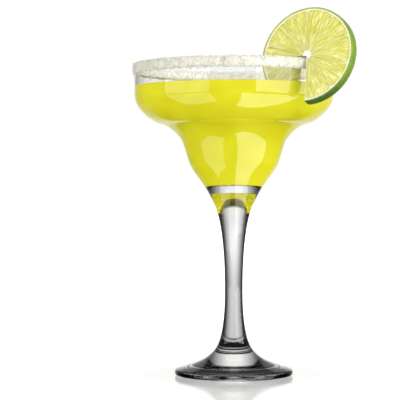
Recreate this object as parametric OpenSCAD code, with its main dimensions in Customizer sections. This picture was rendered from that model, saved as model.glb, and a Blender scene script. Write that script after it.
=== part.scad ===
// Stemmed margarita glass with its drink, a salted rim and a slit lime wheel set on the rim.
// The axis of the glass is Z, the table is z = 0, and the front of the glass faces -Y.

/* [Foot] */
// Diameter of the foot
foot_d = 66; // [58:1:76]
// Height of the foot's rounded edge
foot_edge_h = 3.5; // [2.6:0.1:4.5]
// How far the top of the edge lies inside the foot's diameter
foot_edge_inset = 1.1; // [0.7:0.1:1.8]
// Height of the foot up to its joint with the stem
foot_h = 14; // [11:0.5:18]
// Diameter of the joint between foot and stem
foot_neck_d = 21.8; // [18:0.2:25]
// How far the ring that the glass stands on lies inside the foot's diameter
rest_inset = 2.4; // [1.6:0.1:4]
// Width of that ring
rest_w = 3.6; // [2:0.1:6]
// Depth of the hollow under the foot
kick_h = 2; // [1:0.1:3.5]

/* [Stem] */
// Length of the stem between its two joints
stem_len = 82; // [64:1:105]
// Diameter of the stem where it is narrowest
stem_d = 10; // [8:0.2:13]
// Height of the narrowest place above the lower joint
stem_waist_h = 34; // [26:1:46]
// Diameter of the joint between stem and bowl
stem_head_d = 22.1; // [19:0.1:27]

/* [Bowl] */
// Solid glass between the stem joint and the floor of the well
floor_h = 10.8; // [8:0.2:11.4]
// Diameter of the flat floor inside the well
floor_d = 19; // [12:0.5:21]
// Rise from the stem joint to where the flare turns into the well
flare_h = 10.4; // [10:0.2:13]
// Outside diameter where the flare turns into the well
flare_d = 33.7; // [29:0.1:38]
// Rise of the well above the flare
well_h = 23.2; // [18:0.2:30]
// Outside diameter at the top of the well
well_d = 56.8; // [50:0.2:64]
// Rise of the shoulder from the well to the bottom of the cup
shoulder_h = 11; // [9:0.2:14]
// Outside diameter where the shoulder runs out on the bottom of the cup
shoulder_d = 82; // [74:0.5:90]
// Rise of the cup's round bottom
cup_h = 15.9; // [13:0.1:20]
// Height of the cup's upright side
side_h = 16.5; // [13:0.5:24]
// Outside diameter of the rim
rim_d = 111.2; // [104:0.2:120]
// Wall of the upright side and the rim
rim_wall = 1.6; // [1.2:0.1:2.2]
// Wall of the cup's bottom
cup_wall = 2; // [1.5:0.1:2.6]
// Wall at the top of the well
well_wall = 2.4; // [1.8:0.1:3]
// Wall where the flare turns into the well
flare_wall = 2.8; // [2.2:0.1:3.4]

/* [Drink] */
// Drop from the rim to the surface of the drink
fill_drop = 11; // [8:0.5:30]
// Film between the drink and the glass
drink_gap = 0.05; // [0.02:0.01:0.2]

/* [Salt] */
// Height of the crust outside, below the rim
salt_out_h = 5; // [3:0.1:8]
// Height of the crust inside, below the rim
salt_in_h = 4.4; // [3:0.1:7]
// Thickness of the crust outside
salt_out_t = 1.5; // [0.8:0.1:2]
// Thickness of the crust inside
salt_in_t = 1.1; // [0.8:0.1:1.6]
// Thickness of the crust on top of the rim
salt_top_t = 1.5; // [0.8:0.1:2.2]
// Film between the crust and the glass
salt_gap = 0.05; // [0.04:0.01:0.15]

/* [Lime] */
// Diameter of the lime wheel
lime_d = 53.4; // [46:0.2:60]
// Thickness of the wheel
lime_t = 5.6; // [4.5:0.1:8]
// Thickness of the green rind
rind_t = 1; // [0.8:0.1:1.6]
// Thickness of the white pith inside the rind
pith_t = 0.8; // [0.6:0.1:2]
// Film between the rind and the pith
peel_gap = 0.05; // [0.02:0.01:0.2]
// Diameter of the pale core
core_d = 4.4; // [4:0.1:6]
// Thickness of the membrane between two segments
membrane_t = 0.45; // [0.4:0.05:0.8]
// Rounding of a segment's outer corners
segment_round = 1.2; // [0.8:0.1:2.4]
// Number of segments
lime_segments = 10; // [8:1:11]
// Place of the wheel on the rim, in degrees to the right of the front
lime_seat = 41.5; // [20:0.5:70]
// Turn of the wheel's face to the left of the front, in degrees
lime_yaw = 30; // [15:1:40]
// Backward lean of the wheel's face, in degrees
lime_lean = 14; // [5:1:18]
// Turn of the wheel about its own middle, in degrees
lime_roll = 4.5; // [0:0.5:10]
// Distance of the core to the right of the rim
core_offset = 3.3; // [2:0.1:5]
// Height of the core above the end of the slit
core_rise = 0; // [0:0.1:2]
// Clearance between the wheel and what it straddles or dips into
lime_gap = 0.3; // [0.2:0.05:0.5]
// Height that lifts the wheel off the rim
lime_lift = 40; // [34:1:60]

/* [Hidden] */
$fn = 96;
// Steps along each curve of the glass
curve_steps = 14;
// Steps along a short arc, as on the rim and at a segment's corner
arc_steps = 8;
// Steps round the salt crust
crust_steps = 96;
// Overrun of every cut
overrun = 1;
// Sweep of the slit's walls round the rim, in degrees
slit_sweep = 120;

// Directions of the glass's outline, in degrees from the outward radius
edge_turn = 161;
neck_turn = 131;
head_turn = 65;
flare_turn = 54;
well_turn = 72;
shoulder_turn = 12;
upright_turn = 90;
level_turn = 0;
// Reach of the handles of each curve, as shares of its chord
foot_reach_shares = [0.56, 0.33];
stem_low_reach_shares = [0.24, 0.28];
stem_top_reach_shares = [0.33, 0.24];
flare_reach_shares = [0.37, 0.28];
well_reach_shares = [0.6, 0.54];
shoulder_reach_shares = [0.26, 0.3];
cup_reach_shares = [0.2, 0.38];
floor_reach_shares = [0.55, 0.3];
kick_reach_shares = [0.5, 0.3];
edge_reach_shares = [0.5, 0.5];
// Height of the foot's widest place, as a share of its edge
edge_bulge_share = 0.5;
// Share of the cut membrane that stays on the segment outside the glass
knife_share = 0.75;

// Radii and levels that follow from the sizes
foot_r = foot_d / 2;
rim_r = rim_d / 2;
lip_r = rim_wall / 2;
stem_z = foot_h;
bowl_z = stem_z + stem_len;
floor_z = bowl_z + floor_h;
flare_z = bowl_z + flare_h;
well_z = flare_z + well_h;
shoulder_z = well_z + shoulder_h;
side_z = shoulder_z + cup_h;
rim_z = side_z + side_h;
fill_z = rim_z - fill_drop;
salt_z = rim_z + salt_top_t;
seat_z = salt_z + lime_gap;
rest_r = foot_r - rest_inset;
kick_r = rest_r - rest_w;

// Slit of the wheel: it clears the salted rim on both sides
slit_in_r = rim_r - rim_wall - salt_in_t - lime_gap;
slit_out_r = rim_r + salt_out_t + lime_gap;
lime_r = lime_d / 2;
pith_r = lime_r - rind_t - peel_gap;
flesh_r = pith_r - pith_t;
knife_x = membrane_t * (1 / 2 - knife_share);
segment_half = 180 / lime_segments;
// Middle of the wheel, set off from the rim along its own face
wall_mid_r = rim_r - lip_r;
lime_at = [
    wall_mid_r * sin(lime_seat) + core_offset * cos(lime_yaw),
    -wall_mid_r * cos(lime_seat) - core_offset * sin(lime_yaw),
    seat_z + core_rise
];

// Outline nodes of the glass as radius and height
foot_edge_at = [foot_r - foot_edge_inset, foot_edge_h];
neck_at = [foot_neck_d / 2, stem_z];
waist_at = [stem_d / 2, stem_z + stem_waist_h];
head_at = [stem_head_d / 2, bowl_z];
flare_at = [flare_d / 2, flare_z];
well_at = [well_d / 2, well_z];
shoulder_at = [shoulder_d / 2, shoulder_z];
side_at = [rim_r, side_z];

// Unit direction at an angle
function way(turn) = [cos(turn), sin(turn)];
// Points of a cubic curve from p to q, which leaves and arrives at the given directions
function curve(p, p_turn, q, q_turn, reach_shares) =
    let (
        chord = norm(q - p),
        b = p + chord * reach_shares[0] * way(p_turn),
        c = q - chord * reach_shares[1] * way(q_turn)
    )
    [
        for (i = [0:curve_steps])
        let (t = i / curve_steps, u = 1 - t)
        u * u * u * p + 3 * u * u * t * b + 3 * u * t * t * c + t * t * t * q
    ];
// Points of an arc about a centre
function arc(centre, r, from, to) = [
    for (i = [0:arc_steps])
    centre + r * way(from + (to - from) * i / arc_steps)
];
// A node moved into the glass, square to the outline
function inward(at, turn, wall) = at + wall * way(turn + 90);
function reversed(points) = [for (i = [len(points) - 1:-1:0]) points[i]];

// Outside of the bowl from the stem joint to the side
function bowl_outside() = concat(
    curve(head_at, head_turn, flare_at, flare_turn, flare_reach_shares),
    curve(flare_at, flare_turn, well_at, well_turn, well_reach_shares),
    curve(well_at, well_turn, shoulder_at, shoulder_turn, shoulder_reach_shares),
    curve(shoulder_at, shoulder_turn, side_at, upright_turn, cup_reach_shares)
);
// Inside of the cup's round bottom, with a film of the given thickness on the glass
function cup_inside(film) = curve(
    inward(shoulder_at, shoulder_turn, cup_wall + film), shoulder_turn,
    inward(side_at, upright_turn, rim_wall + film), upright_turn,
    cup_reach_shares
);
// Inside of the bowl from the middle of the floor to the side
function bowl_inside(film) =
    let (
        floor_at = [floor_d / 2, floor_z + film],
        flare_in = inward(flare_at, flare_turn, flare_wall + film),
        well_in = inward(well_at, well_turn, well_wall + film),
        shoulder_in = inward(shoulder_at, shoulder_turn, cup_wall + film)
    )
    concat(
        [[0, floor_z + film]],
        curve(floor_at, level_turn, flare_in, flare_turn, floor_reach_shares),
        curve(flare_in, flare_turn, well_in, well_turn, well_reach_shares),
        curve(well_in, well_turn, shoulder_in, shoulder_turn, shoulder_reach_shares),
        cup_inside(film)
    );

module bowl() {
    color([0.88, 0.92, 0.91, 0.35])
    rotate_extrude()
    polygon(concat(
        [[0, bowl_z]],
        bowl_outside(),
        arc([wall_mid_r, rim_z - lip_r], lip_r, 0, 180),
        reversed(bowl_inside(0))
    ));
}

module stem() {
    color([0.9, 0.93, 0.92, 0.35])
    rotate_extrude()
    polygon(concat(
        [[0, stem_z]],
        curve(neck_at, neck_turn, waist_at, upright_turn, stem_low_reach_shares),
        curve(waist_at, upright_turn, head_at, head_turn, stem_top_reach_shares),
        [[0, bowl_z]]
    ));
}

module foot() {
    bulge_at = [foot_r, foot_edge_h * edge_bulge_share];
    color([0.84, 0.88, 0.88, 0.35])
    rotate_extrude()
    polygon(concat(
        curve([0, kick_h], level_turn, [kick_r, 0], -45, kick_reach_shares),
        curve([rest_r, 0], level_turn, bulge_at, upright_turn, edge_reach_shares),
        curve(bulge_at, upright_turn, foot_edge_at, edge_turn, edge_reach_shares),
        curve(foot_edge_at, edge_turn, neck_at, neck_turn, foot_reach_shares),
        [[0, stem_z]]
    ));
}

// The wheel moved straight up from its seat, with the clearance round it
module wheel_path() {
    hull()
    for (rise = [0, lime_lift])
    translate([0, 0, rise])
    on_rim()
    cylinder(r = lime_r + lime_gap, h = lime_t + 2 * lime_gap, center = true, $fn = 48);
}

// The liquid fills the well and the cup, and parts where the wheel dips into it
module drink() {
    color([0.88, 0.85, 0.2])
    difference() {
        rotate_extrude()
        intersection() {
            polygon(concat(
                bowl_inside(drink_gap),
                [[rim_r - rim_wall - drink_gap, rim_z], [0, rim_z]]
            ));
            square([rim_r, fill_z]);
        }
        wheel_path();
    }
}

// Unevenness of the crust round the rim, from 0 to 1
function lump(turn, shift) =
    let (
        broad = sin(7 * turn + shift),
        middle = sin(19 * turn + 3 * shift),
        fine = sin(41 * turn + 5 * shift)
    )
    (broad + middle + fine + 3) / 6;
// Shares of the crust that its lumps may take away
crust_thin_share = 0.4;
crust_short_share = 0.3;
// Section of the crust at one place round the rim: up the glass, over the lip, and back outside
function crust_section(turn) =
    let (
        out_t = salt_out_t * (1 - crust_thin_share * lump(turn, 20)),
        in_t = salt_in_t * (1 - crust_thin_share * lump(turn, 75)),
        top_t = salt_top_t * (1 - crust_thin_share * lump(turn, 130)),
        out_h = salt_out_h * (1 - crust_short_share * lump(turn, 200)),
        in_h = salt_in_h * (1 - crust_short_share * lump(turn, 310)),
        out_r = rim_r + salt_gap,
        in_r = rim_r - rim_wall - salt_gap,
        lip_z = rim_z - lip_r
    )
    concat(
        [[out_r, rim_z - out_h]],
        arc([wall_mid_r, lip_z], lip_r + salt_gap, 0, 180),
        [[in_r, rim_z - in_h]],
        [for (s = crust_belly_shares) [in_r + salt_gap - in_t * s[0], rim_z - in_h * s[1]]],
        [[in_r, rim_z + top_t], [out_r, rim_z + top_t]],
        [
            for (i = [len(crust_belly_shares) - 1:-1:0])
            let (s = crust_belly_shares[i])
            [out_r - salt_gap + out_t * s[0], rim_z - out_h * s[1]]
        ]
    );
// Bulge of the crust's skirts as shares of its thickness and of its height below the rim
crust_belly_shares = [[0.7, 0.96], [1, 0.7], [0.95, 0.2], [0.75, -0.12]];

// Quads between the rings of a closed section, as triangles
function ring_faces(rings, points) = [
    for (i = [0:rings - 1])
    for (j = [0:points - 1])
    let (
        next_i = (i + 1) % rings,
        next_j = (j + 1) % points,
        a = i * points + j,
        b = i * points + next_j,
        c = next_i * points + next_j,
        d = next_i * points + j
    )
    each [[a, b, c], [a, c, d]]
];

module salt_rim() {
    sections = [for (i = [0:crust_steps - 1]) crust_section(360 * i / crust_steps)];
    points = [
        for (i = [0:crust_steps - 1])
        for (p = sections[i])
        let (turn = 360 * i / crust_steps)
        [p[0] * cos(turn), p[0] * sin(turn), p[1]]
    ];
    color([0.93, 0.93, 0.89])
    polyhedron(points, ring_faces(crust_steps, len(sections[0])));
}

// Puts the wheel on the rim: its face looks to the front, turned to the left and leaning back
module on_rim() {
    translate(lime_at)
    rotate([90 - lime_lean, 0, -lime_yaw])
    rotate([0, 0, lime_roll])
    children();
}

// What the knife and the salted rim take from the wheel, open straight down for lifting it off.
// Outside the glass the cut follows the membrane that hangs from the core.
module slit() {
    below = lime_d;
    rotate([0, 0, lime_seat - 90 - slit_sweep / 2])
    rotate_extrude(angle = slit_sweep) {
        translate([slit_in_r, seat_z - below])
        square([slit_out_r - slit_in_r, below]);
        polygon(concat(
            cup_inside(lime_gap),
            [[slit_out_r, side_z], [slit_out_r, shoulder_z]]
        ));
    }
    intersection() {
        on_rim()
        translate([knife_x - lime_d, -lime_d, -lime_d / 2])
        cube(lime_d);
        translate([0, 0, seat_z - below])
        difference() {
            cylinder(r = rim_r + lime_d, h = below);
            translate([0, 0, -overrun])
            cylinder(r = wall_mid_r, h = below + 2 * overrun);
        }
    }
}

// One segment's outline about the +X axis: a wedge with round corners and a round tip at the core
function segment_outline() =
    let (
        half_gap = membrane_t / 2,
        corner_way = segment_half - asin((half_gap + segment_round) / (flesh_r - segment_round)),
        corner_at = (flesh_r - segment_round) * way(corner_way),
        spread = 1 / sin(segment_half),
        tip_r = (core_d / 2 - half_gap * spread) / (spread - 1),
        side_way = segment_half + 90
    )
    concat(
        arc([corner_at[0], -corner_at[1]], segment_round, -side_way, -corner_way),
        arc([0, 0], flesh_r, -corner_way, corner_way),
        arc(corner_at, segment_round, corner_way, side_way),
        arc([core_d / 2 + tip_r, 0], tip_r, side_way, 360 - side_way)
    );
// Direction of a segment, counted to the left round the face from the membrane below the core
function segment_way(k) = (2 * k - 1) * segment_half - 90;

module lime_rind() {
    color([0.42, 0.62, 0.2])
    difference() {
        on_rim()
        difference() {
            intersection() {
                sphere(r = lime_r);
                cylinder(r = lime_d, h = lime_t, center = true);
            }
            cylinder(r = lime_r - rind_t, h = lime_t + 2 * overrun, center = true);
        }
        slit();
    }
}

module lime_pith() {
    color([0.93, 0.94, 0.78])
    difference() {
        on_rim()
        linear_extrude(height = lime_t, center = true)
        difference() {
            circle(r = pith_r);
            for (k = [1:lime_segments])
            rotate([0, 0, segment_way(k)])
            polygon(segment_outline());
        }
        slit();
    }
}

module lime_segment(k) {
    color([0.85, 0.87, 0.4])
    difference() {
        on_rim()
        rotate([0, 0, segment_way(k)])
        linear_extrude(height = lime_t, center = true)
        polygon(segment_outline());
        slit();
    }
}

bowl();
stem();
foot();
drink();
salt_rim();
lime_rind();
lime_pith();
for (k = [1:lime_segments])
lime_segment(k);
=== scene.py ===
import math
import random
from itertools import product

import bmesh
import bpy
import numpy as np
from mathutils import Matrix, Vector, noise


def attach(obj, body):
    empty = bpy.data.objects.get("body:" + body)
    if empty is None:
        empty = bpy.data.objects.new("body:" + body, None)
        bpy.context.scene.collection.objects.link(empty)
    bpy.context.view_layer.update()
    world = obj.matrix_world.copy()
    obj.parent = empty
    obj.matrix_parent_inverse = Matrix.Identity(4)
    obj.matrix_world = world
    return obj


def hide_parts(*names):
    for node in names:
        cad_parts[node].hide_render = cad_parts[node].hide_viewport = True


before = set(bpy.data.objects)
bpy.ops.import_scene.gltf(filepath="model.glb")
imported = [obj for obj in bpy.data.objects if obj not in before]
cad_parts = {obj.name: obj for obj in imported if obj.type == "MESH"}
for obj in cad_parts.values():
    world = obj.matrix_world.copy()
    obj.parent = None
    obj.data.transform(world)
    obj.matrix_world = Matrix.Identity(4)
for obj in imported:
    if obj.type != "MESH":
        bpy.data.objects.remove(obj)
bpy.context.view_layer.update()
mm = 0.001
tiny = 1e-6  # in millimetres: nearer to the axis counts as on it
quarterTurn = 90  # in degrees
upright = quarterTurn  # the way of a wall that goes straight up
mostBounces = 20  # light crosses many faces in thick glass
scene = bpy.context.scene
scene.view_settings.view_transform = "Standard"
scene.cycles.max_bounces = mostBounces
scene.cycles.transmission_bounces = mostBounces
scene.cycles.transparent_max_bounces = mostBounces
scene.cycles.use_denoising = True
print("stage: frame loaded")


# outlines are lists of points in millimetres, each a radius and a height
def way(turn):
    return np.array([math.cos(math.radians(turn)), math.sin(math.radians(turn))])


def curvePoints(start, startTurn, end, endTurn, reach, steps=18):
    start, end = np.array(start, float), np.array(end, float)
    chord = np.linalg.norm(end - start)
    first = start + chord * reach[0] * way(startTurn)
    second = end - chord * reach[1] * way(endTurn)
    points = []
    for t in np.linspace(0, 1, steps + 1):
        u = 1 - t
        points.append(u ** 3 * start + 3 * u * u * t * first + 3 * u * t * t * second + t ** 3 * end)
    return points


def arcPoints(centre, radius, start, end, steps=12):
    return [np.array(centre) + radius * way(turn) for turn in np.linspace(start, end, steps + 1)]


def straightPoints(start, end, steps):
    start, end = np.array(start), np.array(end)
    return [start + (end - start) * t for t in np.linspace(0, 1, steps + 1)]


def withoutRepeats(points, least=1e-4):
    kept = [points[0]]
    for point in points[1:]:
        if np.linalg.norm(np.array(point) - np.array(kept[-1])) > least:
            kept.append(point)
    return kept


# meshes and objects
def ringTurns(count):
    return [2 * math.pi * i / count for i in range(count)]


def ringSpot(radius, turn, level, unit=mm):
    return radius * math.cos(turn) * unit, radius * math.sin(turn) * unit, level * unit


def linkObject(name, data):
    made = bpy.data.objects.new(name, data)
    scene.collection.objects.link(made)
    return made


def addPiece(name, verts, faces, smooth=True):
    mesh = bpy.data.meshes.new(name)
    mesh.from_pydata(verts, [], faces)
    mesh.validate()
    for polygon in mesh.polygons:
        polygon.use_smooth = smooth
    return linkObject(name, mesh)


def revolve(name, outline, turns):
    verts, faces, rings = [], [], []
    for radius, level in outline:
        if radius < tiny:
            rings.append([len(verts)])
            verts.append((0, 0, level * mm))
        else:
            rings.append(range(len(verts), len(verts) + turns))
            verts += [ringSpot(radius, turn, level) for turn in ringTurns(turns)]
    for low, high in zip(rings, rings[1:]):
        for i in range(turns):
            j = (i + 1) % turns
            if len(low) == 1:
                faces.append((low[0], high[j], high[i]))
            elif len(high) == 1:
                faces.append((low[i], low[j], high[0]))
            else:
                faces.append((low[i], low[j], high[j], high[i]))
    return addPiece(name, verts, faces)


def finishPiece(piece, material, body, nodes):
    piece.data.materials.clear()
    piece.data.materials.append(material)
    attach(piece, body)
    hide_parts(*nodes)


# materials and their nodes
def newMaterial(name, **sockets):
    material = bpy.data.materials.new(name)
    material.use_nodes = True
    surface = material.node_tree.nodes["Principled BSDF"]
    for label, value in sockets.items():
        surface.inputs[label.replace("_", " ")].default_value = value
    return material, material.node_tree, surface


def addNode(tree, kind, **settings):
    node = tree.nodes.new(kind)
    for key, value in settings.items():
        setattr(node, key, value)
    return node


def linkAll(tree, sockets, values):
    for socket, value in zip(sockets, values):
        tree.links.new(value, socket)


def setSurface(tree, shader):
    tree.links.new(shader, tree.nodes["Material Output"].inputs["Surface"])


def mathNode(tree, operation, first, second=None):
    node = addNode(tree, "ShaderNodeMath", operation=operation)
    for socket, value in zip(node.inputs, (first, second)):
        if value is None:
            continue
        if isinstance(value, (int, float)):
            socket.default_value = value
        else:
            tree.links.new(value, socket)
    return node.outputs[0]


# ray counts are whole numbers, so the limit lies half a step higher
def moreThan(tree, count, limit):
    return mathNode(tree, "GREATER_THAN", count, limit + 0.5)


def atMost(tree, count, limit):
    return mathNode(tree, "LESS_THAN", count, limit + 0.5)


def objectPlace(tree):
    return addNode(tree, "ShaderNodeTexCoord").outputs["Object"]


def placeParts(tree, place):
    node = addNode(tree, "ShaderNodeSeparateXYZ")
    tree.links.new(place, node.inputs[0])
    return node.outputs


def distance(tree, place):
    node = addNode(tree, "ShaderNodeVectorMath", operation="LENGTH")
    tree.links.new(place, node.inputs[0])
    return node.outputs["Value"]


def cloudNoise(tree, place, scale, detail=2, distortion=0):
    node = addNode(tree, "ShaderNodeTexNoise")
    node.inputs["Scale"].default_value = scale
    node.inputs["Detail"].default_value = detail
    node.inputs["Distortion"].default_value = distortion
    tree.links.new(place, node.inputs["Vector"])
    return node.outputs["Fac"]


def span(tree, value, low, high):
    node = addNode(tree, "ShaderNodeMapRange")
    node.inputs["From Min"].default_value = low
    node.inputs["From Max"].default_value = high
    tree.links.new(value, node.inputs["Value"])
    return node.outputs["Result"]


def ramp(tree, factor, stops):
    node = addNode(tree, "ShaderNodeValToRGB")
    elements = node.color_ramp.elements
    while len(elements) < len(stops):
        elements.new(1)
    for element, (place, colour) in zip(elements, stops):
        element.position = place
        element.color = (*colour, 1)
    tree.links.new(factor, node.inputs["Fac"])
    return node.outputs["Color"]


def greyRamp(tree, factor, stops):
    return ramp(tree, factor, [(at, (level,) * 3) for at, level in stops])


def mixColours(tree, factor, first, second):
    node = addNode(tree, "ShaderNodeMix", data_type="RGBA")
    linkAll(tree, [node.inputs[k] for k in (0, 6, 7)], (factor, first, second))  # the colour sockets
    return node.outputs[2]


def mixShaders(tree, factor, first, second):
    node = addNode(tree, "ShaderNodeMixShader")
    linkAll(tree, node.inputs, (factor, first, second))
    return node.outputs["Shader"]


# the glass: one wall of clear glass from the foot to the rim
glass = {
    "kick": 2, "kickRadius": 27, "kickTurn": -45, "restRadius": 30.6, "bulge": (33, 1.75),
    "bulgeTurn": upright, "footEdge": (31.9, 3.5), "footEdgeTurn": 161, "neck": (10.9, 14), "neckTurn": 131,
    "waist": (5, 48), "waistTurn": upright, "head": (11.05, 96), "headTurn": 65,
    "flare": (16.85, 106.4), "flareTurn": 54, "flareWall": 2.8,
    "well": (28.4, 129.6), "wellTurn": 72, "wellWall": 2.4,
    "shoulder": (41, 140.6), "shoulderTurn": 12, "shoulderWall": 2,
    "side": (55.6, 156.5), "sideTurn": upright, "sideWall": 1.6, "rimLevel": 173, "floor": (9.5, 106.8),
    # how far each curve follows its two end directions, as shares of its chord
    "reach": {
        "kick": (0.5, 0.3), "edge": (0.5, 0.5), "foot": (0.56, 0.33), "stemLow": (0.24, 0.28),
        "stemTop": (0.33, 0.24), "flare": (0.37, 0.28), "well": (0.6, 0.54), "shoulder": (0.26, 0.3),
        "cup": (0.2, 0.38), "floor": (0.55, 0.3),
    },
    "turns": 192, "restSteps": 4, "rimSteps": 10, "floorSteps": 6, "cornerStep": 0.05,
    "ior": 1.52, "shadowTint": (0.94, 0.95, 0.94, 1),
}


def inward(label, film):
    return np.array(glass[label]) + (glass[label + "Wall"] + film) * way(glass[label + "Turn"] + quarterTurn)


def insideOutline(film):
    reach = glass["reach"]
    labels = ("flare", "well", "shoulder", "side")
    flareIn, wellIn, shoulderIn, sideIn = [inward(label, film) for label in labels]
    floorAt = (glass["floor"][0], glass["floor"][1] + film)
    return [
        *straightPoints((0, floorAt[1]), floorAt, glass["floorSteps"]),
        *curvePoints(floorAt, 0, flareIn, glass["flareTurn"], reach["floor"]),
        *curvePoints(flareIn, glass["flareTurn"], wellIn, glass["wellTurn"], reach["well"]),
        *curvePoints(wellIn, glass["wellTurn"], shoulderIn, glass["shoulderTurn"], reach["shoulder"]),
        *curvePoints(shoulderIn, glass["shoulderTurn"], sideIn, glass["sideTurn"], reach["cup"]),
    ]


def outsideCurve(start, end, label):
    startTurn, endTurn = glass[start + "Turn"], glass[end + "Turn"]
    return curvePoints(glass[start], startTurn, glass[end], endTurn, glass["reach"][label])


def outsideOutline():
    reach = glass["reach"]
    corner = np.array((glass["kickRadius"], 0))
    hollow = curvePoints((0, glass["kick"]), 0, corner, glass["kickTurn"], reach["kick"])
    beside = glass["cornerStep"]  # rings this close to the corner under the foot keep its shading crisp
    restStart, restEnd = (glass["kickRadius"] + beside, 0), (glass["restRadius"], 0)
    return [
        *hollow[:-1], corner - beside * way(glass["kickTurn"]), corner,
        *straightPoints(restStart, restEnd, glass["restSteps"]),
        *curvePoints(restEnd, 0, glass["bulge"], upright, reach["edge"]),
        *outsideCurve("bulge", "footEdge", "edge"),
        *outsideCurve("footEdge", "neck", "foot"),
        *outsideCurve("neck", "waist", "stemLow"),
        *outsideCurve("waist", "head", "stemTop"),
        *outsideCurve("head", "flare", "flare"),
        *outsideCurve("flare", "well", "well"),
        *outsideCurve("well", "shoulder", "shoulder"),
        *outsideCurve("shoulder", "side", "cup"),
    ]


rimRadius = glass["side"][0]
rimInside = rimRadius - glass["sideWall"]
lipRadius = glass["sideWall"] / 2
lipAt = (rimRadius - lipRadius, glass["rimLevel"] - lipRadius)
glassInside = insideOutline(0)
glassOutline = [
    *outsideOutline(),
    *straightPoints(glass["side"], (rimRadius, lipAt[1]), glass["rimSteps"]),
    *arcPoints(lipAt, lipRadius, 0, 180),
    *straightPoints((glassInside[-1][0], lipAt[1]), glassInside[-1], glass["rimSteps"]),
    *glassInside[::-1],
]
glassPiece = revolve("glass_wall", withoutRepeats(glassOutline), glass["turns"])

glassMaterial, tree, surface = newMaterial(
    "clearGlass", Base_Color=(1, 1, 1, 1), Roughness=0, IOR=glass["ior"], Transmission_Weight=1
)
# lamps shine through the wall with a faint shade
shadowRay = addNode(tree, "ShaderNodeLightPath").outputs["Is Shadow Ray"]
clear = addNode(tree, "ShaderNodeBsdfTransparent")
clear.inputs["Color"].default_value = glass["shadowTint"]
setSurface(tree, mixShaders(tree, shadowRay, surface.outputs["BSDF"], clear.outputs["BSDF"]))
finishPiece(glassPiece, glassMaterial, "glass", ["bowl", "stem", "foot"])
print("stage: glass built")


# the drink: cloudy, wets the wall and climbs a little where it meets it
drink = {
    "level": 161.3, "overlap": 0.1, "turns": 160, "sideSteps": 6, "steps": 14, "topSlope": 0.2,
    # the climb at the wall: height, width, how many widths are drawn, and how its rings spread and fade
    "climb": 0.15, "climbWidth": 2.4, "climbSpan": 3, "climbSpread": 1.5, "climbFade": 2,
    "ior": 1.34, "roughness": 0.08, "cloud": 0.5, "scatter": (1, 0.9, 0.15), "scatterDepth": 0.004,
    "swirlScale": 34, "swirlTwist": 0.6,
    "colours": [(0.3, (0.71, 0.665, 0.014)), (0.7, (0.83, 0.795, 0.035))],
    # facing values between which the wall turns into a mirror and the drink's colour is painted dark
    "critical": (0.535, 0.5),
    # top of the part that shows in the stem, and how much the drink's colour is painted dark where thrown
    # back light sees it
    "lowPart": 112, "paintedDarkness": 0.95,
}
drinkEdge = rimInside + drink["overlap"]
drinkOutline = insideOutline(-drink["overlap"])
drinkTop = (drinkEdge, drink["level"] + drink["climb"])
drinkOutline += straightPoints(drinkOutline[-1], drinkTop, drink["sideSteps"])
for step in range(1, drink["steps"] + 1):
    away = drink["climbSpan"] * drink["climbWidth"] * (step / drink["steps"]) ** drink["climbSpread"]
    climb = drink["climb"] * math.exp(-away / drink["climbWidth"] * drink["climbFade"])
    drinkOutline.append(np.array((drinkEdge - drink["overlap"] - away, drink["level"] + climb)))
drinkOutline += [np.array((drinkEdge / 2, drink["level"])), np.array((0, drink["level"]))]
drinkPiece = revolve("cloudy_drink", withoutRepeats(drinkOutline), drink["turns"])


def paintedWallShade(tree, place, colour):
    # past the critical angle the drink's colour is painted black: painted shade for the wall mirroring the
    # room and hiding the drink
    facing = addNode(tree, "ShaderNodeLayerWeight").outputs["Facing"]
    direct = span(tree, facing, *drink["critical"])
    # where light is thrown back twice in the stem, or mirrored in the foot, the drink's colour is painted
    # nearly black: painted shade
    rays = addNode(tree, "ShaderNodeLightPath").outputs
    low = mathNode(tree, "LESS_THAN", placeParts(tree, place)[2], drink["lowPart"] * mm)
    inStem = mathNode(tree, "MULTIPLY", low, moreThan(tree, rays["Glossy Depth"], 1))
    enteredAgain = moreThan(tree, rays["Transmission Depth"], 2)
    inFoot = mathNode(tree, "MULTIPLY", moreThan(tree, rays["Glossy Depth"], 0), enteredAgain)
    paintedDark = mathNode(tree, "MULTIPLY", mathNode(tree, "MAXIMUM", inStem, inFoot), drink["paintedDarkness"])
    shown = mathNode(tree, "MULTIPLY", direct, mathNode(tree, "SUBTRACT", 1, paintedDark))
    seen = addNode(tree, "ShaderNodeVectorMath", operation="SCALE")
    tree.links.new(colour, seen.inputs[0])
    tree.links.new(shown, seen.inputs["Scale"])
    return seen.outputs[0]


def drinkLook(name, throughWall=False, **sockets):
    material, tree, surface = newMaterial(
        name, Subsurface_Weight=drink["cloud"], Subsurface_Radius=drink["scatter"],
        Subsurface_Scale=drink["scatterDepth"], **sockets
    )
    place = objectPlace(tree)
    swirl = cloudNoise(tree, place, drink["swirlScale"], distortion=drink["swirlTwist"])
    colour = ramp(tree, swirl, drink["colours"])
    if throughWall:
        # painted shade on the drink where the wall mirrors the room or reflections see it
        colour = paintedWallShade(tree, place, colour)
    tree.links.new(colour, surface.inputs["Base Color"])
    return material


# against the glass the drink is the thinner medium; its free surface lies in air
wallLook = drinkLook("drinkOnGlass", throughWall=True, Roughness=0, IOR=drink["ior"] / glass["ior"])
surfaceLook = drinkLook("drinkSurface", Roughness=drink["roughness"], IOR=drink["ior"])
finishPiece(drinkPiece, wallLook, "glass", ["drink"])
drinkPiece.data.materials.append(surfaceLook)
for polygon in drinkPiece.data.polygons:
    polygon.material_index = int(polygon.normal.z > drink["topSlope"])
print("stage: drink built")


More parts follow.
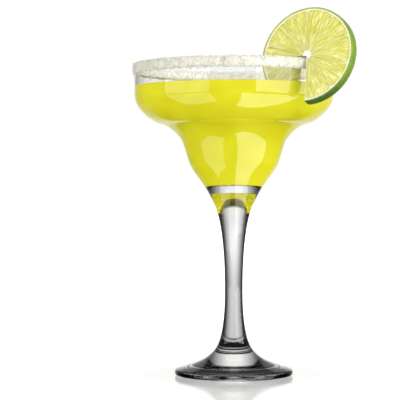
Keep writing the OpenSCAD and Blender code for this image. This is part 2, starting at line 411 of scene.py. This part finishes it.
# the salt: a lumpy crust over the lip with loose crystals stuck to it
salt = {
    "outside": 1.05, "inside": 0.75, "top": 1.0, "outsideSkirt": 4.9, "insideSkirt": 4.2, "turns": 360,
    # the section: shares of the skirt's depth with shares of the thickness there, then shares across the wall
    "profile": [(0.94, 0.55), (0.75, 0.9), (0.5, 1), (0.25, 1), (0, 0.95), (-0.1, 0.8)],
    "topShares": (0.85, 0.5, 0.15), "bedShares": (0.25, 0.75), "bedDepth": 0.6, "grip": 0.1,
    # how uneven it is, and the scale and shift of each noise
    "lump": 0.35, "skirtLump": 0.14, "lumpScale": 14, "rough": 0.12, "roughScale": 1.3,
    "noises": {
        "outside": (1, (0, 0, 0)), "inside": (1, (3, 8, 5)),
        "top": (1.7, (1, 2, 7)), "skirt": (2.3, (9, 4, 2)),
    },
    # where the wheel presses the salt up: degrees right of the front, width in degrees, how much thicker
    "pressedAt": 43.5, "pressedWidth": 4, "pressedOutside": 1.1, "pressedTop": 0.6, "crown": 1.7,
    # loose crystals, and how far they may reach
    "seed": 11, "grains": 6500, "grainSize": (0.35, 0.85), "spin": 6.28, "cornerSize": (0.8, 1.15),
    "stretch": [(0.7, 1.3), (0.6, 1.1), (0.5, 1)],
    "strays": 420, "strayDrop": 1.1, "strayOutside": 0.6, "strayGap": 0.3, "straySize": 0.7,
    "reach": (52.95, 56.6), "ceiling": 174.45,
    "roughness": 0.35, "ior": 1.54, "cloud": 0.4, "scatter": (1, 1, 0.9), "scatterDepth": 0.0012,
    "speckleScale": 900,
    "outsideColours": [(0.3, (0.6, 0.59, 0.47)), (0.65, (0.76, 0.75, 0.64))],
    # the inner side is painted lighter and less cream than the outer side: painted light
    "paintedLightInsideColours": [(0.3, (0.78, 0.77, 0.79)), (0.65, (0.9, 0.89, 0.95))],
}
boxSides = [(0, 1, 3, 2), (4, 6, 7, 5), (0, 4, 5, 1), (2, 3, 7, 6), (0, 2, 6, 4), (1, 5, 7, 3)]


def lumpy(spot, label, amount):
    scale, shift = salt["noises"][label]
    return 1 + amount * noise.noise(spot * scale + Vector(shift))


def crustSection(turn):
    spot = Vector((math.cos(turn), math.sin(turn), 0)) * salt["lumpScale"]
    fromFront = math.degrees(turn) + quarterTurn
    away = (fromFront - salt["pressedAt"] + 180) % 360 - 180
    pressed = math.exp(-(away / salt["pressedWidth"]) ** 2)
    outside = salt["outside"] * lumpy(spot, "outside", salt["lump"]) + salt["pressedOutside"] * pressed
    inside = salt["inside"] * lumpy(spot, "inside", salt["lump"])
    top = salt["top"] * lumpy(spot, "top", salt["lump"]) + salt["pressedTop"] * pressed
    top = min(top, salt["crown"])
    skirt = lumpy(spot, "skirt", salt["skirtLump"])
    outsideSkirt, insideSkirt = salt["outsideSkirt"] * skirt, salt["insideSkirt"] * skirt
    wall, level = glass["sideWall"], glass["rimLevel"]
    upward, downward = salt["profile"], salt["profile"][::-1]
    return [
        (rimRadius - salt["grip"], level - outsideSkirt),
        *((rimRadius + outside * bulge, level - outsideSkirt * share) for share, bulge in upward),
        *((rimInside + wall * share, level + top) for share in salt["topShares"]),
        *((rimInside - inside * bulge, level - insideSkirt * share) for share, bulge in downward),
        (rimInside + salt["grip"], level - insideSkirt),
        *((rimInside + wall * share, level - salt["bedDepth"]) for share in salt["bedShares"]),
    ]


def crustShell():
    verts, faces = [], []
    for turn in ringTurns(salt["turns"]):
        section = crustSection(turn)
        count = len(section)
        for k, (radius, level) in enumerate(section):
            if k < count - len(salt["bedShares"]):
                spot = Vector(ringSpot(radius, turn, level, 1))
                radius += salt["rough"] * noise.noise(spot * salt["roughScale"])
            verts.append(ringSpot(radius, turn, level))
    for i in range(salt["turns"]):
        follow = (i + 1) % salt["turns"]
        for k in range(count):
            after = (k + 1) % count
            faces.append((i * count + k, follow * count + k, follow * count + after, i * count + after))
    return verts, faces


def addGrain(verts, faces, centre, size, chance):
    spin = chance.uniform(0, salt["spin"])
    turned = Matrix.Rotation(spin, 3, Vector([chance.gauss(0, 1) for _ in range(3)]))
    stretch = Vector([chance.uniform(*limits) for limits in salt["stretch"]])
    base = len(verts)
    for corner in product((-0.5, 0.5), repeat=3):
        corner = Vector(corner) * stretch * size * chance.uniform(*salt["cornerSize"])
        spot = Vector(centre) + turned @ corner
        radius = math.hypot(spot.x, spot.y)
        kept = min(max(radius, salt["reach"][0]), salt["reach"][1])
        level = min(spot.z, salt["ceiling"])
        verts.append((spot.x * kept / radius * mm, spot.y * kept / radius * mm, level * mm))
    for side in boxSides:
        faces.append(tuple(base + corner for corner in side))


def crustSpot(section, chance):
    nearlyLast = len(section) - 1.001  # so that there is always a next point
    along = chance.uniform(0, nearlyLast)
    low = int(along)
    share = along - low
    radius = section[low][0] * (1 - share) + section[low + 1][0] * share
    level = section[low][1] * (1 - share) + section[low + 1][1] * share
    return radius, level


def straySpot(section, chance):
    below = abs(chance.gauss(0, salt["strayDrop"]))
    outside = chance.random() < salt["strayOutside"]
    radius, level = section[0] if outside else section[-1]
    gap = salt["strayGap"] if outside else -salt["strayGap"]
    return radius + gap, level - below


def scatterGrains(verts, faces):
    chance = random.Random(salt["seed"])
    for count, stray in ((salt["grains"], False), (salt["strays"], True)):
        for _ in range(count):
            turn = chance.uniform(0, 2 * math.pi)
            section = crustSection(turn)[:-len(salt["bedShares"])]
            size = chance.uniform(*salt["grainSize"])
            if stray:
                radius, level = straySpot(section, chance)
                size *= salt["straySize"]
            else:
                radius, level = crustSpot(section, chance)
            addGrain(verts, faces, ringSpot(radius, turn, level, 1), size, chance)


saltVerts, saltFaces = crustShell()
scatterGrains(saltVerts, saltFaces)
saltPiece = addPiece("salt_crust", saltVerts, saltFaces, smooth=False)
saltMaterial, tree, surface = newMaterial(
    "rimSalt", Roughness=salt["roughness"], IOR=salt["ior"], Subsurface_Weight=salt["cloud"],
    Subsurface_Radius=salt["scatter"], Subsurface_Scale=salt["scatterDepth"]
)
place = objectPlace(tree)
speckle = cloudNoise(tree, place, salt["speckleScale"])
flat = addNode(tree, "ShaderNodeVectorMath", operation="MULTIPLY")
flat.inputs[1].default_value = (1, 1, 0)  # leaves the height out
tree.links.new(place, flat.inputs[0])
# the crust is painted lighter towards its inner side, which is seen and lit through the glass wall: painted
# light
across = span(tree, distance(tree, flat.outputs[0]), rimInside * mm, rimRadius * mm)
paintedLightInside = ramp(tree, speckle, salt["paintedLightInsideColours"])
outsideColour = ramp(tree, speckle, salt["outsideColours"])
tree.links.new(mixColours(tree, across, paintedLightInside, outsideColour), surface.inputs["Base Color"])
finishPiece(saltPiece, saltMaterial, "glass", ["salt_rim"])
print("stage: salt built")


# the lime wheel, worked in its own axes: x right and y up across the face, z out of the face
lime = {
    "radius": 26.7, "thick": 5.6, "rind": 1, "segments": 10,
    # seat in degrees right of the front, the wheel's turn, lean and roll, and the place of its core
    "seat": 41.5, "yaw": 30, "lean": 14, "roll": 4.5, "coreOffset": 3.3, "level": 174.8,
    "weld": 0.002, "voxel": 0.24, "smooth": 0.5, "smoothSteps": 2,
}
seat, yaw, roll = [math.radians(lime[label]) for label in ("seat", "yaw", "roll")]
tilt = math.radians(quarterTurn - lime["lean"])
limeAt = Vector((
    lipAt[0] * math.sin(seat) + lime["coreOffset"] * math.cos(yaw),
    -lipAt[0] * math.cos(seat) - lime["coreOffset"] * math.sin(yaw),
    lime["level"],
)) * mm
wheel = Matrix.Translation(limeAt) @ Matrix.Rotation(-yaw, 4, "Z") @ Matrix.Rotation(tilt, 4, "X")
wheel @= Matrix.Rotation(roll, 4, "Z")


# a fine, softened copy of a solid of the wheel, still in the wheel's own axes
def wheelPiece(name, node):
    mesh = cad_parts[node].data.copy()
    mesh.name = name
    mesh.transform(wheel.inverted())
    shape = bmesh.new()
    shape.from_mesh(mesh)
    bmesh.ops.remove_doubles(shape, verts=shape.verts, dist=lime["weld"] * mm)
    shape.to_mesh(mesh)
    shape.free()
    piece = linkObject(name, mesh)
    fine = piece.modifiers.new("fine", "REMESH")
    fine.mode = "VOXEL"
    fine.voxel_size = lime["voxel"] * mm
    even = piece.modifiers.new("even", "SMOOTH")
    even.factor = lime["smooth"]
    even.iterations = lime["smoothSteps"]
    bpy.context.view_layer.update()
    made = bpy.data.meshes.new_from_object(piece.evaluated_get(bpy.context.evaluated_depsgraph_get()))
    piece.modifiers.clear()
    piece.data = made
    made.name = name
    made.materials.clear()
    for polygon in made.polygons:
        polygon.use_smooth = True
    return piece


def vertexTable(mesh):
    places = np.empty(len(mesh.vertices) * 3)
    normals = np.empty(len(mesh.vertices) * 3)
    mesh.vertices.foreach_get("co", places)
    mesh.vertices.foreach_get("normal", normals)
    return places.reshape(-1, 3) / mm, normals.reshape(-1, 3)


# moves the vertices and puts the piece where the wheel sits on the rim
def placeVertices(mesh, places):
    mesh.vertices.foreach_set("co", (places * mm).ravel())
    mesh.transform(wheel)
    mesh.update()


# radius in millimetres from the core, and a place for noise that runs in spokes
def citrusPolarGroup():
    group = bpy.data.node_groups.new("citrusPolar", "ShaderNodeTree")
    group.interface.new_socket(name="Spoke Scale", in_out="INPUT", socket_type="NodeSocketVector")
    group.interface.new_socket(name="Radius", in_out="OUTPUT", socket_type="NodeSocketFloat")
    group.interface.new_socket(name="Spokes", in_out="OUTPUT", socket_type="NodeSocketVector")
    start = addNode(group, "NodeGroupInput")
    end = addNode(group, "NodeGroupOutput")
    place = addNode(group, "ShaderNodeMapping", vector_type="TEXTURE")
    place.inputs["Location"].default_value = limeAt
    place.inputs["Rotation"].default_value = wheel.to_euler()
    group.links.new(objectPlace(group), place.inputs["Vector"])
    x, y, z = placeParts(group, place.outputs[0])
    squares = [mathNode(group, "MULTIPLY", part, part) for part in (x, y)]
    radius = mathNode(group, "SQRT", mathNode(group, "ADD", *squares))
    radius = mathNode(group, "MULTIPLY", radius, 1 / mm)
    turn = mathNode(group, "ARCTAN2", y, x)
    polar = addNode(group, "ShaderNodeCombineXYZ")
    linkAll(group, polar.inputs, (turn, radius, z))
    spokes = addNode(group, "ShaderNodeVectorMath", operation="MULTIPLY")
    linkAll(group, spokes.inputs, (polar.outputs[0], start.outputs["Spoke Scale"]))
    group.links.new(radius, end.inputs["Radius"])
    group.links.new(spokes.outputs[0], end.inputs["Spokes"])
    return group


citrusPolar = citrusPolarGroup()


# rind: dark skin with pores outside, paler towards the pith, with painted shade that darkens it towards the
# bottom
rind = {
    "poreDepth": 0.16, "poreScale": 0.85, "poreReach": 0.42, "poreFacing": 0.5,
    "roughness": 0.45, "cloud": 0.25, "scatter": (0.6, 1, 0.2), "scatterDepth": 0.001,
    # the last pair: heights in millimetres over which the painted shade on the lower rind gives way to the
    # lit colours
    "mottleScale": 160, "mottle": 0.5, "paleEdge": 0.1, "darkEdge": 0.2, "paintedShadeLevels": (152, 166),
    "shadedRindColours": [(0, (0.3, 0.36, 0.07)), (0.4, (0.12, 0.21, 0.03)), (1, (0.05, 0.125, 0.013))],
    "litRindColours": [(0, (0.66, 0.66, 0.14)), (0.4, (0.3, 0.4, 0.05)), (1, (0.13, 0.23, 0.015))],
}


def dentPores(mesh):
    places, normals = vertexTable(mesh)
    for i, (place, normal) in enumerate(zip(places, normals)):
        outward = (place[0] * normal[0] + place[1] * normal[1]) / max(math.hypot(place[0], place[1]), tiny)
        if outward < rind["poreFacing"]:
            continue
        near = noise.voronoi(Vector(place) * rind["poreScale"])[0][0]
        places[i] -= normal * rind["poreDepth"] * max(0, 1 - near / rind["poreReach"])
    placeVertices(mesh, places)


rindMaterial, tree, surface = newMaterial(
    "limeRind", Roughness=rind["roughness"], Subsurface_Weight=rind["cloud"],
    Subsurface_Radius=rind["scatter"], Subsurface_Scale=rind["scatterDepth"]
)
polar = addNode(tree, "ShaderNodeGroup", node_tree=citrusPolar)
place = objectPlace(tree)
mottle = mathNode(tree, "MULTIPLY", cloudNoise(tree, place, rind["mottleScale"]), rind["mottle"])
skin = mathNode(tree, "ADD", polar.outputs["Radius"], mottle)
pithEdge = lime["radius"] - lime["rind"]
skinSpan = span(tree, skin, pithEdge + rind["paleEdge"], lime["radius"] + rind["darkEdge"])
# painted shade: the rind's colour darkens below these heights, where the wheel lies in shade
upward = span(tree, placeParts(tree, place)[2], *(level * mm for level in rind["paintedShadeLevels"]))
shadedRind = ramp(tree, skinSpan, rind["shadedRindColours"])
litRind = ramp(tree, skinSpan, rind["litRindColours"])
tree.links.new(mixColours(tree, upward, shadedRind, litRind), surface.inputs["Base Color"])
rindPiece = wheelPiece("rind", "lime_rind")
dentPores(rindPiece.data)
finishPiece(rindPiece, rindMaterial, "lime_wheel", ["lime_rind"])


# pith, membranes and core
pith = {
    "roughness": 0.45, "cloud": 0.5, "scatter": (1, 1, 0.7), "scatterDepth": 0.0015,
    "colours": [
        (0, (0.94, 0.93, 0.84)), (0.1, (0.88, 0.87, 0.6)), (0.25, (0.76, 0.74, 0.22)),
        (0.85, (0.76, 0.74, 0.2)), (0.97, (0.88, 0.86, 0.56)),
    ],
}
pithMaterial, tree, surface = newMaterial(
    "limePith", Roughness=pith["roughness"], Subsurface_Weight=pith["cloud"],
    Subsurface_Radius=pith["scatter"], Subsurface_Scale=pith["scatterDepth"]
)
polar = addNode(tree, "ShaderNodeGroup", node_tree=citrusPolar)
pithSpan = span(tree, polar.outputs["Radius"], 0, pithEdge)
tree.links.new(ramp(tree, pithSpan, pith["colours"]), surface.inputs["Base Color"])
pithPiece = wheelPiece("pith", "lime_pith")
pithPiece.data.transform(wheel)
finishPiece(pithPiece, pithMaterial, "lime_wheel", ["lime_pith"])


# juicy segments with pale streaks along the sacs
pulp = {
    # juice sacs: noise scales round the core, outwards and through the wheel
    "sacDepth": 0.4, "sacScale": (13, 0.2, 0.25), "creaseReach": 0.32, "creaseShare": 0.7,
    # slower swells: noise scales round the core, outwards and from segment to segment
    "swellScale": (5, 0.2, 3), "swellShare": 0.35, "swellLift": 0.6, "segmentShift": 2.7,
    "roughness": 0.16, "ior": 1.36, "cloud": 0.6, "scatter": (1, 1, 0.3), "scatterDepth": 0.003, "wet": 0.6,
    "spokeScale": (16, 0.13, 120), "streakScale": 1.6, "streakDetail": 4,
    "colours": [(0.3, (0.54, 0.52, 0.06)), (0.5, (0.65, 0.63, 0.14)), (0.68, (0.82, 0.81, 0.44))],
}


# long juice sacs point at the core, and the faces sink between them
def swellSacs(mesh, shift):
    places, normals = vertexTable(mesh)
    half = lime["thick"] / 2
    around, outwards, through = pulp["sacScale"]
    swellAround, swellOutwards, swellShift = pulp["swellScale"]
    for i, (place, normal) in enumerate(zip(places, normals)):
        radius = math.hypot(place[0], place[1])
        turn = math.atan2(place[1], place[0])
        gaps = noise.voronoi(Vector((turn * around, radius * outwards, place[2] * through + shift)))[0]
        crease = max(0, 1 - (gaps[1] - gaps[0]) / pulp["creaseReach"])
        swell = noise.noise(Vector((turn * swellAround, radius * swellOutwards, shift * swellShift)))
        lift = pulp["swellShare"] * (swell + pulp["swellLift"])
        sink = pulp["sacDepth"] * (pulp["creaseShare"] * crease + lift) * abs(normal[2])
        places[i][2] -= math.copysign(sink, place[2]) * min(1, abs(place[2]) / half)
    placeVertices(mesh, places)


pulpMaterial, tree, surface = newMaterial(
    "limePulp", Roughness=pulp["roughness"], IOR=pulp["ior"], Subsurface_Weight=pulp["cloud"],
    Subsurface_Radius=pulp["scatter"], Subsurface_Scale=pulp["scatterDepth"], Coat_Weight=pulp["wet"]
)
polar = addNode(tree, "ShaderNodeGroup", node_tree=citrusPolar)
polar.inputs["Spoke Scale"].default_value = pulp["spokeScale"]
streak = cloudNoise(tree, polar.outputs["Spokes"], pulp["streakScale"], pulp["streakDetail"])
tree.links.new(ramp(tree, streak, pulp["colours"]), surface.inputs["Base Color"])
for k in range(1, lime["segments"] + 1):
    segmentPiece = wheelPiece(f"segment_{k}", f"lime_segment_{k}")
    swellSacs(segmentPiece.data, k * pulp["segmentShift"])
    finishPiece(segmentPiece, pulpMaterial, "lime_wheel", [f"lime_segment_{k}"])
print("stage: lime built")


# pale floor that whitens with the distance from the glass, in metres
floor = {
    "size": 80, "colour": (0.84, 0.84, 0.85, 1), "roughness": 0.1,
    "whiteness": [(0.045, 0.01), (0.065, 0.06), (0.12, 0.15), (0.3, 0.5), (0.5, 0.95)],
}
far = floor["size"] / 2
floorCorners = [(-far, -far, 0), (far, -far, 0), (far, far, 0), (-far, far, 0)]
floorPiece = addPiece("floor", floorCorners, [(0, 1, 2, 3)])
floorMaterial, tree, surface = newMaterial(
    "paleFloor", Base_Color=floor["colour"], Roughness=floor["roughness"]
)
# the extra white is only in the picture and lights nothing
whiteness = addNode(tree, "ShaderNodeEmission")
farther = greyRamp(tree, distance(tree, objectPlace(tree)), floor["whiteness"])
tree.links.new(farther, whiteness.inputs["Strength"])
both = addNode(tree, "ShaderNodeAddShader")
linkAll(tree, both.inputs, (surface.outputs["BSDF"], whiteness.outputs["Emission"]))
cameraRay = addNode(tree, "ShaderNodeLightPath").outputs["Is Camera Ray"]
setSurface(tree, mixShaders(tree, cameraRay, surface.outputs["BSDF"], both.outputs["Shader"]))
floorPiece.data.materials.append(floorMaterial)
floorPiece.visible_glossy = floorPiece.visible_transmission = False


# painted shade: a dark disc for the dim gap under the foot, seen only through the glass and at a low angle
shade = {
    "reach": 30.5, "level": -0.02, "turns": 64,
    "colour": (0.02, 0.02, 0.02, 1), "grazing": (0.45, 0.58),
}
shadeVerts = [ringSpot(shade["reach"], turn, shade["level"]) for turn in ringTurns(shade["turns"])]
shadePiece = addPiece("foot_shade", shadeVerts, [tuple(range(shade["turns"]))])
shadeMaterial, tree, surface = newMaterial("paintedFootShade", Base_Color=shade["colour"], Specular_IOR_Level=0)
grazing = span(tree, addNode(tree, "ShaderNodeLayerWeight").outputs["Facing"], *shade["grazing"])
unseen = addNode(tree, "ShaderNodeBsdfTransparent")
setSurface(tree, mixShaders(tree, grazing, unseen.outputs["BSDF"], surface.outputs["BSDF"]))
shadePiece.data.materials.append(shadeMaterial)
shadePiece.visible_camera = shadePiece.visible_shadow = False
shadePiece.visible_diffuse = shadePiece.visible_glossy = False


# bright surround with dark quarters that draw the glass's edges; the camera itself sees plain white
surround = {
    "dark": 0.01,
    # past this many reflections all of it is dimmer; in any reflection its sides and front are
    "mostTurns": 2, "mirrored": 0.2,
    # shares of a half turn from the back, and brightness there
    "back": [(0, 1), (0.05, 0.97), (0.08, 0.78), (0.14, 0.46), (0.2, 0.2), (0.25, 0.09), (0.3, 0.012)],
    "round": [
        (0.45, 0), (0.47, 0.85), (0.53, 0.85), (0.55, 0), (0.68, 0), (0.72, 0.45), (0.78, 0.45),
        (0.82, 0.05), (0.9, 0.04), (0.95, 0.9),
    ],
    # heights of the view ray, from straight down to straight up, and brightness there:
    # seen straight, in reflections, straight down through the table, and as light on matt surfaces
    "band": [
        (0.25, 0), (0.285, 0.62), (0.44, 0.66), (0.48, 0.7), (0.53, 1), (0.57, 1), (0.61, 0.88),
        (0.735, 0.85), (0.765, 0),
    ],
    "bandMirrored": [
        (0.25, 0), (0.285, 0.88), (0.45, 0.88), (0.53, 1), (0.57, 1), (0.61, 0.9), (0.65, 0.55),
        (0.735, 0.45), (0.765, 0),
    ],
    "below": [(0.06, 0.5), (0.14, 0)],
    "even": [(0.1, 1.85), (0.35, 1.32), (0.62, 0.585)],
}
world = bpy.data.worlds.new("studio")
scene.world = world
world.use_nodes = True
world.cycles.sampling_method = "NONE"
tree = world.node_tree
tree.nodes.clear()
rays = addNode(tree, "ShaderNodeLightPath").outputs
x, y, z = placeParts(tree, addNode(tree, "ShaderNodeTexCoord").outputs["Generated"])
azimuth = mathNode(tree, "ABSOLUTE", mathNode(tree, "ARCTAN2", x, y))
fromBack = mathNode(tree, "DIVIDE", azimuth, math.pi)
height = span(tree, z, -1, 1)
straight = atMost(tree, rays["Glossy Depth"], 0)
fewTurns = atMost(tree, rays["Glossy Depth"], surround["mostTurns"])
dimmer = mathNode(tree, "MAXIMUM", straight, surround["mirrored"])
sides = mathNode(tree, "MULTIPLY", greyRamp(tree, fromBack, surround["round"]), dimmer)
sectors = mathNode(tree, "MAXIMUM", greyRamp(tree, fromBack, surround["back"]), sides)
bandMirrored = greyRamp(tree, height, surround["bandMirrored"])
band = mixColours(tree, straight, bandMirrored, greyRamp(tree, height, surround["band"]))
below = mathNode(tree, "MULTIPLY", greyRamp(tree, height, surround["below"]), straight)
bright = mathNode(tree, "MAXIMUM", mathNode(tree, "MULTIPLY", sectors, band), below)
bright = mathNode(tree, "MULTIPLY", bright, mathNode(tree, "MAXIMUM", fewTurns, surround["mirrored"]))
bright = mathNode(tree, "ADD", bright, surround["dark"])
white, even, patterned = [addNode(tree, "ShaderNodeBackground") for _ in range(3)]
for background in (white, even):
    background.inputs["Color"].default_value = (1, 1, 1, 1)
tree.links.new(greyRamp(tree, height, surround["even"]), even.inputs["Strength"])
tree.links.new(bright, patterned.inputs["Color"])
# matt surfaces get the even light, clear and shiny ones show the pattern
matt = moreThan(tree, rays["Diffuse Depth"], 0)
inner = mixShaders(tree, matt, patterned.outputs[0], even.outputs[0])
outer = mixShaders(tree, rays["Is Camera Ray"], inner, white.outputs[0])
tree.links.new(outer, addNode(tree, "ShaderNodeOutputWorld").inputs["Surface"])


# soft boxes: name, middle, wide, high and radiance; the lower ones lie below the level of the floor
lamps = [
    ("lampLeftUpper", (-0.58, -0.392, 0.235), 0.74, 0.46, 1.8),
    ("lampLeftTop", (-0.58, -0.392, 0.69), 0.74, 0.45, 1.8),
    ("lampLeftLower", (-0.58, -0.392, -0.575), 0.76, 1.05, 1.6),
    ("lampRightUpper", (0.58, -0.391, 0.235), 0.91, 0.46, 3.3),
    ("lampRightTop", (0.58, -0.391, 0.69), 0.91, 0.45, 3.3),
    ("lampRightLower", (0.5, -0.5, -2.06), 1.05, 3.88, 3.1),
]
for name, middle, wide, high, radiance in lamps:
    lamp = bpy.data.lights.new(name, "AREA")
    lamp.shape = "RECTANGLE"
    lamp.size, lamp.size_y = wide, high
    lamp.energy = radiance * math.pi * wide * high
    holder = linkObject(name, lamp)
    holder.location = middle
    holder.rotation_euler = (math.pi / 2, 0, math.atan2(middle[0], -middle[1]))
    holder.visible_camera = holder.visible_transmission = False
    holder.visible_glossy = not name.endswith("Top")  # the top ones only light

view = {"place": (-18.9, -895, 98), "lens": 143.8, "sensor": 36}
camera = bpy.data.cameras.new("camera")
camera.lens, camera.sensor_width = view["lens"], view["sensor"]
eye = linkObject("camera", camera)
eye.location = Vector(view["place"]) * mm
eye.rotation_euler = (math.pi / 2, 0, 0)
scene.camera = eye
print("stage: studio built")
